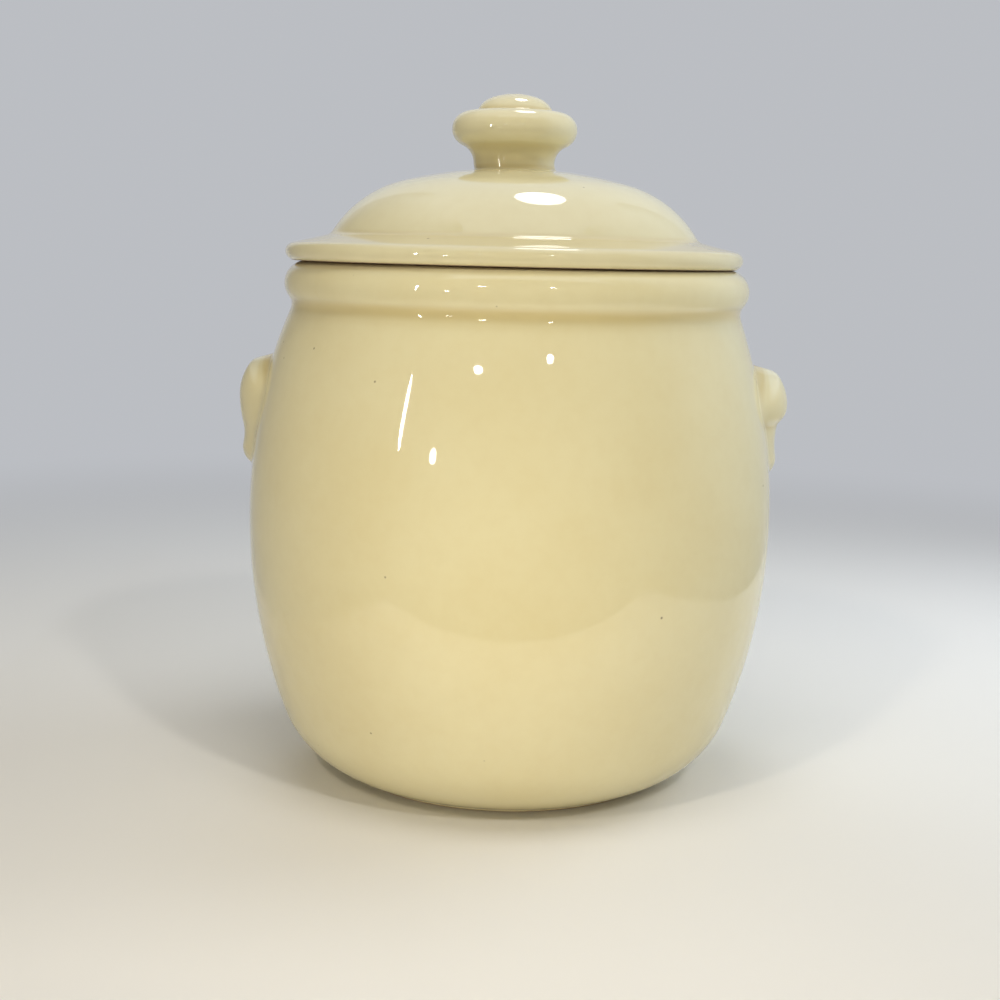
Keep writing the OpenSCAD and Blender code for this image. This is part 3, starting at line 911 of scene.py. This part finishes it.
def make_world():
    """Soft light from all round. The camera sees the backdrop, and reflections see a sky over it."""
    world = bpy.data.worlds.new("studio")
    bpy.context.scene.world = world
    add = emptied(world)
    path = add("ShaderNodeLightPath")
    seen = maths(add, "MAXIMUM", path.outputs["Is Camera Ray"], path.outputs["Is Glossy Ray"])
    seen = maths(add, "MAXIMUM", seen, path.outputs["Is Transmission Ray"])
    soft = add("ShaderNodeBackground", {"Color": (*AMBIENT_COLOUR, 1.0), "Strength": AMBIENT})
    way = add("ShaderNodeTexCoord").outputs["Generated"]
    height = add("ShaderNodeSeparateXYZ", links={"Vector": way}).outputs["Z"]
    raised = mapped(add, height, SKY_LOW, SKY_FULL, 0.0, 1.0)
    above = maths(add, "MULTIPLY", raised, path.outputs["Is Glossy Ray"])
    shade = mix_colour(add, above, BACKDROP, SKY)
    shown = add("ShaderNodeBackground", {"Strength": 1.0}, {"Color": shade})
    both = add("ShaderNodeMixShader", None, {0: seen, 1: soft.outputs[0], 2: shown.outputs[0]})
    add("ShaderNodeOutputWorld", links={"Surface": both.outputs[0]})


def lamp(name, place, aim, size, radiance, colour, glint):
    """An oval lamp, in millimetres, that either lights surfaces or only glints in them."""
    data = bpy.data.lights.new(name, "AREA")
    data.shape = "ELLIPSE"
    data.size, data.size_y = size[0] * MM, size[1] * MM
    area = math.pi / 4.0 * data.size * data.size_y
    data.energy = radiance * math.pi * area
    data.color = colour
    light = placed(name, data)
    light.location = Vector(place) * MM
    light.rotation_mode = "QUATERNION"
    light.rotation_quaternion = (Vector(aim) - Vector(place)).to_track_quat("-Z", "Y")
    light.visible_camera = False
    light.visible_diffuse = not glint
    light.visible_glossy = glint


# Sheets for a light tent with an open front, which the photograph's reflections suggest, in mm.
# Reflections see them, and they light nothing.
TENT_LEFT, TENT_RIGHT = -205.0, 275.0
TENT_FRONT, TENT_BACK = -206.0, 330.0
TENT_TOP = 640.0
ROOM_FRONT = -450.0
ROOM_SIDE = 900.0
ROOM_LOW = 0.5           # how far the room's sheets lie above the floor

SHEET_LEFT = (0.16, 0.16, 0.16)
SHEET_RIGHT = (0.62, 0.70, 0.78)
SHEET_FOOT = (0.42, 0.43, 0.43)
ROOM = (0.01, 0.01, 0.01)
EDGE_FADE = 190.0        # mm over which a side turns into the room in front or the backdrop behind
FOOT_FADE = 260.0        # mm over which it takes the floor's tone towards its foot


def sheet(name, corners, colour, foot_colour):
    """A glowing sheet, in millimetres, that is seen in reflections and nowhere else."""
    mesh = bpy.data.meshes.new(name)
    mesh.from_pydata([Vector(corner) * MM for corner in corners], [], [(0, 1, 2, 3)])
    piece = placed(name, mesh)
    piece.visible_camera = False
    piece.visible_diffuse = False
    piece.visible_shadow = False
    material = bpy.data.materials.new(name)
    add = emptied(material)
    place = add("ShaderNodeTexCoord").outputs["Object"]
    axes = add("ShaderNodeSeparateXYZ", links={"Vector": place})
    risen = faded(add, axes.outputs["Z"], 0.0, FOOT_FADE)
    topmost = faded(add, axes.outputs["Z"], FOOT_FADE, TENT_TOP)
    inner = faded(add, axes.outputs["Y"], TENT_FRONT, TENT_FRONT + EDGE_FADE)
    behind = faded(add, axes.outputs["Y"], TENT_BACK - EDGE_FADE, TENT_BACK)
    shade = mix_colour(add, risen, foot_colour, colour)
    shade = mix_colour(add, topmost, shade, SKY)
    shade = mix_colour(add, inner, ROOM, shade)
    shade = mix_colour(add, behind, shade, BACKDROP)
    glow = add("ShaderNodeEmission", links={"Color": shade})
    add("ShaderNodeOutputMaterial", links={"Surface": glow.outputs[0]})
    mesh.materials.append(material)


def make_tent():
    """The tent's two sides, and the darker room past its open front."""
    front, back, top = TENT_FRONT, TENT_BACK, TENT_TOP
    for name, x, colour in (("tent_left", TENT_LEFT, SHEET_LEFT), ("tent_right", TENT_RIGHT, SHEET_RIGHT)):
        corners = [(x, front, 0.0), (x, back, 0.0), (x, back, top), (x, front, top)]
        sheet(name, corners, colour, SHEET_FOOT)
    side, far, low = ROOM_SIDE, ROOM_FRONT, ROOM_LOW
    near_edge = [(-side, far, low), (side, far, low)]
    sheet("room_front", [*near_edge, (side, far, side), (-side, far, side)], ROOM, ROOM)
    sheet("room_floor", [*near_edge, (side, front, low), (-side, front, low)], ROOM, ROOM)


WARM = (1.0, 0.89, 0.70)
MILD = (1.0, 0.96, 0.87)
COOL = (0.86, 0.94, 1.03)

# Lamps that light the jar and aren't seen in its glaze: place, aim, size, radiance, colour
FILLS = (
    ("fill_above", (0, -200, 720), (0, -120, 0), (370, 230), 6.2, MILD),
    ("fill_near", (0, -228, 40), (0, -138, 130), (360, 84), 2.0, WARM),
    ("fill_slant", (-230, -390, 90), (0, 0, 60), (240, 120), 2.4, WARM),
    ("fill_right", (430, 170, 300), (0, 0, 90), (420, 360), 3.4, COOL),
    ("fill_left", (-420, 60, 330), (0, 0, 90), (300, 300), 0.4, WARM),
    ("fill_back", (-150, 480, 420), (0, 0, 120), (400, 300), 2.0, COOL),
    ("fill_top", (57, 102, 600), (57, 102, 0), (128, 170), 1.2, COOL),
    ("key_left", (-409, -707, 816), (0, 0, 80), (80, 80), 116.0, WARM),
    ("key_right", (409, -707, 816), (0, 0, 80), (80, 80), 134.0, MILD),
)

GLINT_COLOUR = (1.0, 0.985, 0.94)

# Small lamps that are seen in the glaze and light nothing: place, aim, size, radiance
GLINTS = (
    ("strip", (-221, -239, 206), (-30, -76, 126), (6, 92), 60.0),
    ("strip_end", (-161, -290, 161), (-22, -82, 115), (14, 19), 30.0),
    ("bulb_left", (-85, -317, 281), (-10, -78, 140), (20, 12), 70.0),
    ("bulb_right", (87, -315, 297), (10, -77, 143), (15, 12), 60.0),
    ("overhead", (57, 102, 590), (57, 102, 0), (120, 160), 9.0),
)


def make_light():
    """The fills round the jar, and the lamps that only glint in its glaze."""
    for name, place, aim, size, radiance, colour in FILLS:
        lamp(name, place, aim, size, radiance, colour, False)
    for name, place, aim, size, radiance in GLINTS:
        lamp(name, place, aim, size, radiance, GLINT_COLOUR, True)


make_floor()
make_world()
make_tent()
make_light()
bpy.context.scene.view_settings.view_transform = "Standard"
